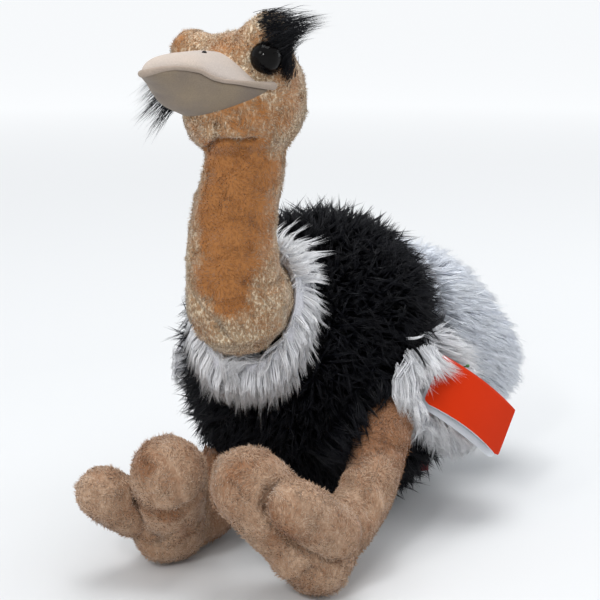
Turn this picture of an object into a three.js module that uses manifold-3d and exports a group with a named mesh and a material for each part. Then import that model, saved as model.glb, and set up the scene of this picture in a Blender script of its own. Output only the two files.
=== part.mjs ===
// A stuffed ostrich toy that sits on its seat, long legs out in front and head turned a little aside.
// Millimetres, +Z up. The bird faces -Y and its left side is +X. Sizes are given about the middle of the
// trunk, and the whole toy is moved at the end.
import * as THREE from 'three';
import { mergeVertices } from 'three/addons/utils/BufferGeometryUtils.js';
import { ParametricGeometry } from 'three/addons/geometries/ParametricGeometry.js';
import Module from 'manifold-3d';

const wasm = await Module();
wasm.setup();

const V = (x, y, z) => new THREE.Vector3(x, y, z);
const SIDES = { left: 1, right: -1 };

// ---------- driving sizes ----------
const GAP = 0.35; // kept between two pieces that touch
const REACH = 260; // further than any soft form reaches from its middle

// Soft forms are ellipsoid lobes with a centre and three radii; "soft" is the width of the crease between.
const BODY = {
  soft: 26,
  lobes: [
    { at: V(-5, -2, 88), radii: V(74, 82, 86) },
    { at: V(-2, 23, 122), radii: V(58, 60, 52) },
    { at: V(2, 26, 40), radii: V(69, 64, 46) },
  ],
};
// The neck is two stuffed tubes sewn at an elbow: a short root out of the chest and a long one that rises.
const NECK = {
  root: { path: [V(0, -50, 138), V(-1, -98, 142)], radii: [22, 26] },
  rise: {
    path: [V(-1.5, -101, 143), V(-3, -104, 166), V(-2, -104, 190), V(3, -102, 214), V(5, -99, 240)],
    radii: [29.5, 26.5, 24, 22.5, 22],
  },
};
const RUFF = { at: V(-4, -76, 129), radii: V(42, 46, 48), thick: 24 }; // a collar that hugs the chest
const HEAD = { centre: V(2, -101, 259), turn: 14, lift: 9, roll: 12 };
// Lobes of the head in its own frame: +X left, -Y forward, +Z up, from the middle of the head.
const SKULL = {
  soft: 16,
  lobes: [{ at: V(0, 3, 2), radii: V(31, 33, 30) }, { at: V(0, -1, -15), radii: V(30, 32, 24) }],
};
const BROW = { at: V(25.5, -7, 22.5), radius: 14.5, soft: 7 };
// Each edge of the bill closes towards the tip as (1 - share ** power) ** root.
const BILL = {
  tip: 77, halfWidth: 32, ridge: 24, keel: 19, mouthGap: 0.5,
  closing: { width: [1.5, 0.8], ridge: [1.6, 0.75], keel: [2, 0.8] },
  ridgeFall: 0.3, // share of the ridge's height lost on the way to the tip
  mouth: { corner: -4, tip: 1 },
};
const EYE = { at: V(28.5, -13.5, 10), radius: 8 };
const LASH = {
  left: [
    V(32, -1, 4), V(35, -8, 14), V(36, -12, 23), V(35, -8, 30), V(36, 4, 32), V(38, 18, 32), V(39, 33, 31),
  ],
  right: [V(-32, 2, 31), V(-37, -5, 27), V(-40, -9, 18), V(-43, -10, 8), V(-49, -11, -2), V(-57, -13, -14)],
  thick: 5, taper: 0.45,
};
const WING = { fromBody: V(58, 0, 119), radii: V(18, 34, 38) };
const PLUME = {
  soft: 26,
  left: [{ at: V(69, -12, 81), radii: V(19, 27, 21) }, { at: V(81, 20, 61), radii: V(25, 29, 29) }],
  right: [{ at: V(-69, -10, 82), radii: V(19, 26, 22) }, { at: V(-75, 30, 64), radii: V(23, 27, 29) }],
};
const TAIL = {
  soft: 24,
  lobes: [{ at: V(19, 84, 100), radii: V(60, 42, 51) }, { at: V(53, 102, 70), radii: V(45, 36, 40) }],
};
const LEG = {
  radius: 16.5,
  left: [V(44, -4, 76), V(59, -34, 69), V(66, -70, 46), V(66, -100, 30), V(62, -124, 23)],
  right: [V(-38, -18, 46), V(-35, -55, 32), V(-26, -90, 17), V(-29, -112, 18.5), V(-32, -124, 20)],
};
const FOOT = {
  left: {
    heel: V(60, -133, 20.5), inner: V(34, -160, 64), outer: V(63, -166, 59), outerRoot: V(74, -141, 38),
  },
  right: {
    heel: V(-32, -125, 20.5), inner: V(-15, -156, 62), outer: V(-49, -167, 49.5), outerRoot: V(-41, -146, 33),
  },
  radii: { heel: 21.5, innerRoot: 21, inner: 21, outerRoot: 15.5, outer: 15 },
};
const TAG = {
  corner: V(77, -22.5, 76.5), // the lower corner nearest the leg
  along: V(37, 26, -36), across: V(3, 28, 20), // the lower edge, and the way from it up to the fold
  length: 58, height: 35, thick: 0.6, bow: 3.5, spread: 8,
};
const TIE = { radius: 0.8, from: V(92, 14, 91), to: V(77, 24, 84) };
const LABEL = { at: V(61, 42, 15), turn: 35, size: V(14, 0.8, 8) };

// Colour and roughness of each material.
const COLOUR = {
  tan: [0xc98f52, 0.9], black: [0x0b0b0e, 0.85], white: [0xe9e9ee, 0.9], bill: [0xd9c3a0, 0.75],
  eye: [0x080606, 0.08], card: [0xe8441c, 0.45], plastic: [0x3f8f3a, 0.5], label: [0x8f1420, 0.8],
};

// ---------- solids ----------
/** A closed geometry as a solid: shared vertices merged, collapsed triangles dropped, faces pointing out. */
function solid(geometry) {
  const bare = geometry.clone();
  bare.deleteAttribute('normal');
  bare.deleteAttribute('uv');
  const merged = mergeVertices(bare, 1e-4);
  const index = merged.index.array;
  const triangles = [];
  for (let i = 0; i < index.length; i += 3) {
    const [a, b, c] = [index[i], index[i + 1], index[i + 2]];
    if (a !== b && b !== c && a !== c) triangles.push(a, b, c);
  }
  const vertProperties = new Float32Array(merged.attributes.position.array);
  const build = (list) => new wasm.Manifold(
    new wasm.Mesh({ numProp: 3, vertProperties, triVerts: new Uint32Array(list) }));
  const made = build(triangles);
  return made.volume() > 0 ? made : build(triangles.toReversed());
}

/** The largest body of a solid, so that a cut leaves no crumbs. */
const largest = (made) => made.decompose().reduce((best, one) => (one.volume() > best.volume() ? one : best));

const toy = new THREE.Group();

/** Adds one named piece to the toy: a solid less its neighbours, in its own material. */
function addPiece(name, colour, made, ...neighbours) {
  const cut = neighbours.reduce((rest, neighbour) => rest.subtract(neighbour), made);
  const mesh = largest(cut).getMesh();
  const geometry = new THREE.BufferGeometry();
  geometry.setAttribute('position', new THREE.BufferAttribute(mesh.vertProperties, 3));
  geometry.setIndex(new THREE.BufferAttribute(mesh.triVerts, 1));
  geometry.computeVertexNormals();
  const [tint, roughness] = COLOUR[colour];
  const piece = new THREE.Mesh(
    geometry, new THREE.MeshStandardMaterial({ color: tint, roughness, metalness: 0 }));
  piece.name = name;
  toy.add(piece);
}

/** Signed distance, near enough, from a point to an ellipsoid. */
function ellipsoid(point, { at, radii }) {
  const scaled = point.clone().sub(at).divide(radii);
  const steep = scaled.clone().divide(radii).length();
  return steep < 1e-9 ? -Math.min(...radii.toArray()) : (scaled.length() * (scaled.length() - 1)) / steep;
}

/** Signed distance from a point to a rod with round ends, with a radius at each end. */
function rod(point, a, b, radiusA, radiusB) {
  const along = b.clone().sub(a);
  const share = THREE.MathUtils.clamp(point.clone().sub(a).dot(along) / along.lengthSq(), 0, 1);
  const radius = THREE.MathUtils.lerp(radiusA, radiusB, share);
  return point.distanceTo(a.clone().addScaledVector(along, share)) - radius;
}

/** Joins distances so that the crease between two lobes is soft over a width. */
function blend(soft, ...distances) {
  return distances.reduce((a, b) => {
    const near = Math.max(soft - Math.abs(a - b), 0) / soft;
    return Math.min(a, b) - (near * near * soft) / 4;
  });
}

/** Distance to a form given as lobes with a soft crease between them. */
const lobes = ({ soft, lobes: list }) => (point) => blend(soft, ...list.map((one) => ellipsoid(point, one)));

/** A stuffed form: all that a ray from its middle crosses before the field reaches grow. */
function stuffed(middle, field, detail, grow = 0) {
  const geometry = new THREE.IcosahedronGeometry(1, detail);
  const position = geometry.attributes.position;
  const ray = new THREE.Vector3();
  for (let i = 0; i < position.count; i++) {
    ray.fromBufferAttribute(position, i).normalize();
    let [inside, outside] = [0, REACH];
    for (let step = 0; step < 30; step++) {
      const reach = (inside + outside) / 2;
      if (field(middle.clone().addScaledVector(ray, reach)) < grow) inside = reach;
      else outside = reach;
    }
    position.setXYZ(i, ...middle.clone().addScaledVector(ray, inside).toArray());
  }
  return solid(geometry);
}

/** A stuffed tube with round ends along a path, its radius a function of the share of the way. */
function tube(path, radiusAt, rings, sides, grow = 0) {
  const capRings = sides > 6 ? 3 : 1;
  const curve = new THREE.CatmullRomCurve3(path, false, 'centripetal');
  const frames = curve.computeFrenetFrames(rings, false);
  const surface = (u, v, target) => {
    const ring = Math.round(v * (rings + 2 * capRings)) - capRings;
    const k = THREE.MathUtils.clamp(ring, 0, rings);
    const full = radiusAt(k / rings) + grow;
    const cap = ((ring - k) / capRings) * (Math.PI / 2);
    const radius = full * Math.cos(cap);
    const angle = u * Math.PI * 2;
    target.copy(curve.getPointAt(k / rings))
      .addScaledVector(frames.tangents[k], full * Math.sin(cap))
      .addScaledVector(frames.normals[k], radius * Math.cos(angle))
      .addScaledVector(frames.binormals[k], radius * Math.sin(angle));
  };
  return solid(new ParametricGeometry(surface, sides, rings + 2 * capRings));
}

/** Reads a list of radii as a smooth function of the share of the way. */
function eased(list) {
  return (share) => {
    const at = share * (list.length - 1);
    const k = Math.min(Math.floor(at), list.length - 2);
    return THREE.MathUtils.lerp(list[k], list[k + 1], THREE.MathUtils.smoothstep(at - k, 0, 1));
  };
}

const ground = solid(new THREE.BoxGeometry(600, 600, 100).translate(0, 0, -50));
const mirrored = (lobe, side) => ({ at: V(lobe.at.x * side, lobe.at.y, lobe.at.z), radii: lobe.radii });

// ---------- trunk, neck and ruff ----------
const body = (grow = 0) => stuffed(BODY.lobes[0].at, lobes(BODY), 5, grow);
const neck = (grow = 0) => tube(NECK.root.path, eased(NECK.root.radii), 2, 14, grow)
  .add(tube(NECK.rise.path, eased(NECK.rise.radii), 9, 14, grow));

/** The collar is the part of a shell over the trunk that lies round the root of the neck. */
const ruff = () => stuffed(
  RUFF.at, (point) => Math.max(ellipsoid(point, RUFF), lobes(BODY)(point) - RUFF.thick), 3);

// ---------- head ----------
const headFrame = new THREE.Matrix4().makeTranslation(HEAD.centre)
  .multiply(new THREE.Matrix4().makeRotationFromEuler(new THREE.Euler(
    THREE.MathUtils.degToRad(-HEAD.lift), THREE.MathUtils.degToRad(-HEAD.roll),
    THREE.MathUtils.degToRad(-HEAD.turn), 'ZXY')));
const intoHead = headFrame.clone().invert();
const fromHead = (point) => point.clone().applyMatrix4(headFrame);

function headField(point) {
  const inside = point.clone().applyMatrix4(intoHead);
  inside.x = Math.abs(inside.x);
  return blend(BROW.soft, lobes(SKULL)(inside), inside.distanceTo(BROW.at) - BROW.radius);
}
const head = (grow = 0) => stuffed(fromHead(V(0, 0, -4)), headField, 5, grow);

/** One half of the bill: a run of half round sections from the cheeks to the tip, flat along the mouth. */
function bill(upper, grow = 0) {
  const [sides, rings] = [11, 10];
  const { width, ridge, keel } = BILL.closing;
  const closed = (share, [power, root]) => (1 - share ** power) ** root;
  const surface = (u, v, target) => {
    const along = THREE.MathUtils.clamp((v * rings - 1) / (rings - 1), 0, 1) ** 0.8;
    const halfWidth = (BILL.halfWidth + grow) * closed(along, width);
    const depth = upper
      ? (BILL.ridge + grow) * closed(along, ridge) * (1 - BILL.ridgeFall * along)
      : -(BILL.keel + grow) * closed(along, keel);
    const rise = THREE.MathUtils.smoothstep(along, 0.2, 0.8);
    const mouth = THREE.MathUtils.lerp(BILL.mouth.corner, BILL.mouth.tip, rise);
    const lip = mouth + (upper ? 0.5 : -0.5) * BILL.mouthGap;
    const angle = Math.PI * ((Math.round(u * sides) % sides) / (sides - 1));
    const isRoot = v === 0; // the first ring is drawn together to close the root
    target.set(
      isRoot ? 0 : Math.cos(angle) * halfWidth,
      -BILL.tip * along,
      lip + depth * (isRoot ? 0.4 : Math.sin(angle)),
    ).applyMatrix4(headFrame);
  };
  return solid(new ParametricGeometry(surface, sides, rings));
}

function eye(side, grow = 0) {
  const middle = fromHead(mirrored(EYE, side).at);
  return stuffed(middle, (point) => point.distanceTo(middle) - EYE.radius, 2, grow);
}

const lash = (name) => tube(
  LASH[name].map(fromHead), (share) => LASH.thick * (1 - LASH.taper * share), 8, 6);

// ---------- legs and feet ----------
const leg = (name, grow = 0) => tube(LEG[name], () => LEG.radius, 7, 10, grow);

function sole(name, grow = 0) {
  const { heel, inner } = FOOT[name];
  const { heel: radius, innerRoot } = FOOT.radii;
  const up = heel.clone().lerp(inner, 0.5);
  return stuffed(heel, (point) => rod(point, heel, up, radius, innerRoot - 1), 3, grow);
}

function toe(name, which, grow = 0) {
  const foot = FOOT[name];
  const from = which === 'inner' ? foot.heel.clone().lerp(foot.inner, 0.45) : foot.outerRoot;
  const [rootRadius, tipRadius] = [FOOT.radii[`${which}Root`], FOOT.radii[which]];
  const middle = from.clone().lerp(foot[which], 0.5);
  return stuffed(middle, (point) => rod(point, from, foot[which], rootRadius, tipRadius), 3, grow);
}

// ---------- wings and tail ----------
function wing(side, grow = 0) {
  const at = V(BODY.lobes[0].at.x + side * WING.fromBody.x, WING.fromBody.y, WING.fromBody.z);
  return stuffed(at, (point) => ellipsoid(point, { at, radii: WING.radii }), 3, grow);
}

const between = (a, b) => a.clone().lerp(b, 0.5);
const plume = (name, grow = 0) => stuffed(
  between(PLUME[name][0].at, PLUME[name][1].at), lobes({ soft: PLUME.soft, lobes: PLUME[name] }), 3, grow);

const tail = () => stuffed(between(TAIL.lobes[0].at, TAIL.lobes[1].at), lobes(TAIL), 3);

// ---------- hang tag, its tie, and the sewn label ----------
/** Frame of the card: X along the fold, Y out of the card, Z from the fold down; it starts at the fold. */
function tagFrame() {
  const along = TAG.along.clone().normalize();
  const out = along.clone().cross(TAG.across).normalize();
  const down = along.clone().cross(out);
  const fold = TAG.corner.clone().addScaledVector(down, -TAG.height);
  return new THREE.Matrix4().makeBasis(along, out, down).setPosition(fold);
}

/** One leaf of the folded card, bowed along its length, swung about the fold. */
function tagLeaf(swing) {
  const steps = 6;
  const rise = (k) => 4 * TAG.bow * (k / steps) * (1 - k / steps);
  const face = [];
  for (let k = 0; k <= steps; k++) face.push(new THREE.Vector2((k / steps) * TAG.length, rise(k)));
  const back = face.map((point) => new THREE.Vector2(point.x, point.y - TAG.thick)).reverse();
  const section = new THREE.Shape([...face, ...back]);
  const leaf = new THREE.ExtrudeGeometry(section, { depth: TAG.height, bevelEnabled: false });
  return solid(leaf.rotateX(THREE.MathUtils.degToRad(swing)).applyMatrix4(tagFrame()));
}
const tag = () => tagLeaf(0).add(tagLeaf(TAG.spread));

/** The room over the card that the plume behind it gives way to. */
function tagSeat() {
  const [margin, depth] = [8, 60];
  const room = new THREE.BoxGeometry(TAG.length + 2 * margin, depth, TAG.height + margin);
  const behind = TAG.height * Math.sin(THREE.MathUtils.degToRad(TAG.spread)) + TAG.thick + GAP;
  const middle = V(TAG.length / 2, depth / 2 - behind, TAG.height / 2);
  return solid(room.translate(...middle.toArray()).applyMatrix4(tagFrame()));
}

const tie = (grow = 0) => tube([TIE.from, TIE.to], () => TIE.radius, 1, 6, grow);

function label() {
  const cloth = new THREE.BoxGeometry(...LABEL.size.toArray());
  return solid(cloth.rotateZ(THREE.MathUtils.degToRad(LABEL.turn)).translate(...LABEL.at.toArray()));
}

// ---------- pieces ----------
addPiece('body', 'black', body(), ground);
addPiece('neck', 'tan', neck(), body(GAP), head(GAP));
addPiece('ruff', 'white', ruff(), body(GAP), neck(GAP));
addPiece('head', 'tan', head());
const eyes = [eye(1, GAP), eye(-1, GAP)];
addPiece('bill_upper', 'bill', bill(true), head(GAP), ...eyes);
addPiece('bill_lower', 'bill', bill(false), head(GAP), ...eyes);
for (const [name, side] of Object.entries(SIDES)) {
  addPiece(`eye_${name}`, 'eye', eye(side), head(GAP));
  addPiece(`lash_${name}`, 'black', lash(name), head(GAP), eye(side, GAP), bill(true, GAP), bill(false, GAP));
  addPiece(`wing_${name}`, 'black', wing(side), body(GAP));
  addPiece(`plume_${name}`, 'white', plume(name),
    body(GAP), wing(side, GAP), leg(name, GAP), tagSeat(), tie(GAP));
  addPiece(`leg_${name}`, 'tan', leg(name), ground, body(GAP), sole(name, GAP));
  addPiece(`sole_${name}`, 'tan', sole(name), ground);
  addPiece(`toe_inner_${name}`, 'tan', toe(name, 'inner'), sole(name, GAP), leg(name, GAP));
  addPiece(`toe_outer_${name}`, 'tan', toe(name, 'outer'),
    ground, sole(name, GAP), toe(name, 'inner', GAP), leg(name, GAP));
}
addPiece('tail', 'white', tail(),
  body(GAP), plume('left', GAP), plume('right', GAP), wing(1, GAP), tagSeat(), tie(GAP));
addPiece('hang_tag', 'card', tag());
addPiece('tag_tie', 'plastic', tie(), tag());
addPiece('side_label', 'label', label(), body(GAP));

// The toy stands with the middle of its outline's underside at the origin.
const outline = new THREE.Box3().setFromObject(toy);
const middle = outline.getCenter(new THREE.Vector3());
toy.position.set(-middle.x, -middle.y, -outline.min.z);

export default toy;
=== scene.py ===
import math
import bmesh
import bpy
import numpy as np
from mathutils import Matrix, Vector, noise
from mathutils.bvhtree import BVHTree


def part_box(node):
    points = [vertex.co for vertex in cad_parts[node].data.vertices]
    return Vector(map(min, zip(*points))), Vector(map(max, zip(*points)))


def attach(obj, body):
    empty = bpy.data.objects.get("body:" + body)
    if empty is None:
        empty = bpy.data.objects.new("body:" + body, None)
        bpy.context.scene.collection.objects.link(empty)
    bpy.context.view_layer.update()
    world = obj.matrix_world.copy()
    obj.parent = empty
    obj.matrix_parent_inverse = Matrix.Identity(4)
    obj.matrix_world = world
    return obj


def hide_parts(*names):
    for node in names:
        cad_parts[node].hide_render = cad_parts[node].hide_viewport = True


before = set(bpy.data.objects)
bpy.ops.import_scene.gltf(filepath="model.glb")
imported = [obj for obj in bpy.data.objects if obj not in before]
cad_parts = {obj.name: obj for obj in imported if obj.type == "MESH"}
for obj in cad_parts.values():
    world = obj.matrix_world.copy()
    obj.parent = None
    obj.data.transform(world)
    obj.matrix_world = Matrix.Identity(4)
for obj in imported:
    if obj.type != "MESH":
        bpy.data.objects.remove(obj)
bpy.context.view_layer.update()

# ---------- Trunk ----------
# The trunk is one firmly stuffed ball of long black shag with short rounded wings, flat where the toy sits.
# Its pile is cut in locks of crimped fibre that stand off the cloth and lean down and back.
MM = 0.001
TRUNK_RADIUS = Vector((79, 84, 0))  # from the lowest corner of the trunk's box to its middle
TRUNK_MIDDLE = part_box("body")[0] + TRUNK_RADIUS * MM
SHAG_DEPTH, SHAG_LENGTH, SHAG_SPACING = 12.5, 23, 2.6
OVERLAP = 0.3  # solids swell by this before they are joined into one skin
FLOOR_GAP = 0.3  # fibre stops this far above what the toy sits on
TRIES = 4  # for each root that finds a place of its own
TAPER = 0.45  # how a strand thins: below 1 it keeps its thickness and ends in a short point
MAP_PATCH = 0.003  # how much of the flat map one strand takes
LOCK_ROOT = 0.8  # how deep in the cloth a lock starts


def at(x, y, z):
    """A place in millimetres from the spot on the floor below the middle of the trunk."""
    return TRUNK_MIDDLE + Vector((x, y, z)) * MM


def settle(piece):
    """Makes the piece's modifiers part of its mesh."""
    graph = bpy.context.evaluated_depsgraph_get()
    mesh = bpy.data.meshes.new_from_object(piece.evaluated_get(graph))
    piece.modifiers.clear()
    piece.data = mesh
    return piece


def placed(name, data):
    """A new object in the scene."""
    thing = bpy.data.objects.new(name, data)
    bpy.context.collection.objects.link(thing)
    return thing


def new_piece(name, form, material=None):
    """An object of its own from a bmesh."""
    mesh = bpy.data.meshes.new(name)
    form.to_mesh(mesh)
    form.free()
    if material:
        mesh.materials.append(material)
    return placed(name, mesh)


def rows(items, field, width, kind=float):
    """One field of a mesh's points, corners or triangles, as rows of numbers."""
    values = np.empty(len(items) * width, kind)
    items.foreach_get(field, values)
    return values.reshape(-1, width)


def points_of(mesh):
    return rows(mesh.vertices, "co", 3)


def normals_of(mesh):
    return rows(mesh.vertex_normals, "vector", 3)


def move_points(mesh, points):
    mesh.vertices.foreach_set("co", np.asarray(points).ravel())
    mesh.update()


def sewn_skin(name, nodes, voxel, depth, rounds):
    """One closed cloth skin over the named solids, eased smooth and drawn in by the depth of its pile."""
    form = bmesh.new()
    for node in nodes:
        form.from_mesh(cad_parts[node].data)
    bmesh.ops.remove_doubles(form, verts=form.verts, dist=0.01 * MM)
    form.normal_update()
    for vert in form.verts:
        vert.co += vert.normal * OVERLAP * MM
    skin = new_piece(name, form)
    remesh = skin.modifiers.new("cloth", "REMESH")
    remesh.mode = "VOXEL"
    remesh.voxel_size = voxel * MM
    ease = skin.modifiers.new("ease", "SMOOTH")
    ease.iterations = rounds
    settle(skin)
    move_points(skin.data, points_of(skin.data) - normals_of(skin.data) * depth * MM)
    skin.data.shade_smooth()
    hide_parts(*nodes)
    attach(skin, "root")
    return skin


def lay_flat(skin):
    """Lays the skin's own shape out flat, as the map that skin and coat keep their colours by."""
    bpy.context.view_layer.objects.active = skin
    skin.select_set(True)
    bpy.ops.object.mode_set(mode="EDIT")
    bpy.ops.mesh.select_all(action="SELECT")
    bpy.ops.uv.smart_project(angle_limit=math.radians(66), island_margin=0.004)
    bpy.ops.object.mode_set(mode="OBJECT")
    skin.select_set(False)
    skin.data.uv_layers.active.name = "OFBake"


def unit(vectors):
    return vectors / np.maximum(np.linalg.norm(vectors, axis=-1, keepdims=True), 1e-9)


def roots_on(skin, spacing, chance):
    """Roots scattered evenly over a skin: their places, the skin's normals there, and their flat places."""
    mesh = skin.data
    mesh.calc_loop_triangles()
    corners = rows(mesh.loop_triangles, "vertices", 3, int)
    loops = rows(mesh.loop_triangles, "loops", 3, int)
    flat = rows(mesh.uv_layers["OFBake"].data, "uv", 2)
    points = points_of(mesh)
    sides = points[corners[:, 1:]] - points[corners[:, :1]]
    area = np.linalg.norm(np.cross(sides[:, 0], sides[:, 1]), axis=1) / 2
    wanted = int(TRIES * area.sum() / (spacing * MM) ** 2)
    pick = chance.choice(len(area), wanted, p=area / area.sum())
    a, b = chance.random((2, wanted))
    a = np.sqrt(a)
    weights = np.stack([1 - a, a * (1 - b), a * b], axis=1)[:, :, None]
    place = (points[corners[pick]] * weights).sum(1)
    cells = np.floor(place / (spacing * MM)).astype(int)
    first = np.unique(cells, axis=0, return_index=True)[1]
    normal = unit((normals_of(mesh)[corners[pick]] * weights).sum(1))
    return place[first], normal[first], (flat[loops[pick]] * weights).sum(1)[first]


def tree_of(form):
    """A form's surface, for finding the nearest place on it."""
    mesh = form.data
    return BVHTree.FromPolygons([v.co for v in mesh.vertices], [p.vertices for p in mesh.polygons])


def outside(places, forms, margin):
    """Which places lie outside all these pads or solids by a margin."""
    free = np.ones(len(places), bool)
    for form in forms:
        tree = tree_of(form)
        points = points_of(form.data)
        near = np.all((places > points.min(0) - margin * MM) & (places < points.max(0) + margin * MM), axis=1)
        for i in np.flatnonzero(near & free):
            place = Vector(places[i])
            found, normal, _, _ = tree.find_nearest(place)
            free[i] = (place - found).dot(normal) > margin * MM
    return free


def solids(*nodes):
    return [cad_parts[node] for node in nodes]


def kept_in(place, way, reach, forms, margin):
    """Shortens each reach until its end is in one of these solids, or outside by no more than the margin."""
    reach = reach.copy()
    for _ in range(6):
        over = outside(place + way * reach[:, None], forms, margin)
        reach[over] *= 0.8
    return reach


def strands(name, start, knee, end, radius, rings, flat, shade, material, chance):
    """One mesh of many closed three sided strands, each bent from its start past its knee to its end."""
    count = len(start)
    way = unit(end - start)
    across = unit(np.cross(way, chance.normal(size=(count, 3))))
    over = np.cross(way, across)
    share = (np.arange(rings) / rings)[None, :, None]
    middle = ((1 - share) ** 2 * start[:, None] + 2 * share * (1 - share) * knee[:, None]
              + share ** 2 * end[:, None])
    turn = np.arange(3) * math.tau / 3
    ring = across[:, None, :] * np.cos(turn)[:, None] + over[:, None, :] * np.sin(turn)[:, None]
    thick = radius[:, None, None] * (1 - share) ** TAPER
    points = (middle[:, :, None, :] + ring[:, None] * thick[..., None] * MM).reshape(count, -1, 3)
    points = np.concatenate([points, end[:, None]], axis=1)
    points[:, :, 2] = np.maximum(points[:, :, 2], FLOOR_GAP * MM)
    size = 3 * rings + 1
    faces = []
    for level in range(rings - 1):
        for side in range(3):
            low, other = 3 * level + side, 3 * level + (side + 1) % 3
            faces.append([low, other, other + 3, low + 3])
    top = 3 * (rings - 1)
    faces += [[top, top + 1, size - 1], [top + 1, top + 2, size - 1], [top + 2, top, size - 1], [2, 1, 0]]
    pattern = np.concatenate(faces)
    starts = np.cumsum([0] + [len(face) for face in faces])[:-1]
    offset = np.arange(count)[:, None]
    corners = (pattern + offset * size).ravel()
    mesh = bpy.data.meshes.new(name)
    mesh.vertices.add(count * size)
    mesh.vertices.foreach_set("co", points.ravel())
    mesh.loops.add(len(corners))
    mesh.loops.foreach_set("vertex_index", corners)
    mesh.polygons.add(count * len(faces))
    mesh.polygons.foreach_set("loop_start", (starts + offset * len(pattern)).ravel())
    mesh.update(calc_edges=True)
    rise = np.append(np.repeat(np.arange(rings) / rings, 3), 1.0)
    side = np.append(np.tile([-0.5, 0.0, 0.5], rings), 0.0)
    patch = MAP_PATCH * np.stack([side, rise - 0.5], axis=1)
    spread = (flat[:, None] + patch).reshape(-1, 2)
    mesh.uv_layers.new(name="OFBake").data.foreach_set("uv", spread[corners].ravel())
    for attribute, values in (("rise", np.tile(rise, count)), ("shade", np.repeat(shade, size))):
        mesh.attributes.new(attribute, "FLOAT", "POINT").data.foreach_set("value", values)
    mesh.shade_smooth()
    mesh.materials.append(material)
    coat = placed(name, mesh)
    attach(coat, "root")
    return coat


def shag(name, roots, way, reach, lock, radius, rings, parts, material, slot, seed, lift=0.6):
    """A long pile in locks. Strands start spread round each root and draw together towards the lock's tip.
    way and reach say where each lock goes, lock is (strands, spread at the root, spread at the tip),
    and lift is how far a lock stands up before it bends over."""
    chance = np.random.default_rng(seed)
    place, normal, flat = roots
    each, wide, narrow = lock

    def repeat(values):
        return np.repeat(values, each, axis=0)

    tip = place + way * reach[:, None]
    bend = place + unit(normal * lift + way * 0.4) * reach[:, None] * 0.5
    tone = chance.random(len(place))
    loose = chance.normal(size=(len(place) * each, 3))
    flatten = loose - repeat(normal) * (loose * repeat(normal)).sum(1, keepdims=True)
    start = repeat(place) + flatten * wide * MM * 0.6 - repeat(normal) * LOCK_ROOT * MM
    short = chance.uniform(0.72, 1.0, len(start))[:, None]
    end = repeat(place) + repeat(tip - place) * short + chance.normal(size=start.shape) * narrow * MM
    knee = repeat(bend) + flatten * (wide + narrow) * 0.35 * MM
    shade = np.clip(repeat(tone) * 0.6 + chance.random(len(start)) * 0.4, 0, 1)
    thick = radius * chance.uniform(0.75, 1.25, len(start))
    turn = np.arctan2(*(start[:, :2] - start[:, :2].mean(0)).T)
    order = np.argsort(turn, kind="stable")
    for part, index in enumerate(np.array_split(order, parts)):
        coat = strands(f"{name}_{part + 1}", start[index], knee[index], end[index], thick[index], rings,
                       repeat(flat)[index], shade[index], material, chance)


def node(tree, kind, inputs=(), **settings):
    """Adds a node with its settings, and its inputs as values or as other nodes' outputs."""
    made = tree.nodes.new(kind if kind.startswith("Node") else "ShaderNode" + kind)
    for key, value in settings.items():
        setattr(made, key, value)
    for key, value in dict(inputs).items():
        if isinstance(value, bpy.types.NodeSocket):
            tree.links.new(value, made.inputs[key])
        else:
            made.inputs[key].default_value = value
    return made


def clouds(tree, place, scale, detail, distortion=0.0):
    """Soft noise over places."""
    inputs = {"Vector": place, "Scale": scale, "Detail": detail, "Distortion": distortion}
    return node(tree, "TexNoise", inputs).outputs["Fac"]


def ramp(tree, value, low, high, first=0.0, last=1.0, **settings):
    """A value that goes from first to last while another goes from low to high."""
    return node(tree, "MapRange", {0: value, 1: low, 2: high, 3: first, 4: last}, **settings).outputs[0]


def blend(tree, share, low, high):
    """A colour between two colours or two other nodes' outputs."""
    low, high = [end if isinstance(end, bpy.types.NodeSocket) else (*end, 1) for end in (low, high)]
    return node(tree, "Mix", {0: share, 6: low, 7: high}, data_type="RGBA").outputs[2]


def maths(tree, operation, *values):
    return node(tree, "Math", dict(enumerate(values)), operation=operation).outputs[0]


def vector_maths(tree, operation, *values):
    made = node(tree, "VectorMath", dict(enumerate(values)), operation=operation)
    return made.outputs["Value" if operation == "LENGTH" else "Vector"]


def scaled(tree, vector, scale):
    """A vector or a colour times a value."""
    return node(tree, "VectorMath", {0: vector, "Scale": scale}, operation="SCALE").outputs[0]


def finish_material(name):
    """A new node material: its tree, its Principled shader and its object coordinates."""
    material = bpy.data.materials.new(name)
    material.use_nodes = True
    tree = material.node_tree
    return material, tree, tree.nodes["Principled BSDF"], node(tree, "TexCoord").outputs["Object"]


def dress(tree, shader, colour, values, height=None, strength=0.0, depth=0.0):
    """Gives a shader its colour, its plain values, and the relief of a height, so many millimetres deep."""
    tree.links.new(colour, shader.inputs["Base Color"])
    if height is not None:
        relief = node(tree, "Bump", {"Height": height, "Strength": strength, "Distance": depth * MM})
        tree.links.new(relief.outputs[0], shader.inputs["Normal"])
    for title, value in values.items():
        shader.inputs[title].default_value = value


def new_group(name, takes, gives):
    """A node group with what it takes and gives, how far up its strand a place is, and the strand's shade."""
    group = bpy.data.node_groups.new(name, "ShaderNodeTree")
    for in_out, sockets in (("INPUT", takes), ("OUTPUT", gives)):
        for title, kind in sockets.items():
            group.interface.new_socket(title, in_out=in_out, socket_type="NodeSocket" + kind)
    rise, shade = [node(group, "Attribute", attribute_name=name).outputs["Fac"] for name in ("rise", "shade")]
    return group, node(group, "NodeGroupInput").outputs, node(group, "NodeGroupOutput").inputs, rise, shade


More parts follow.
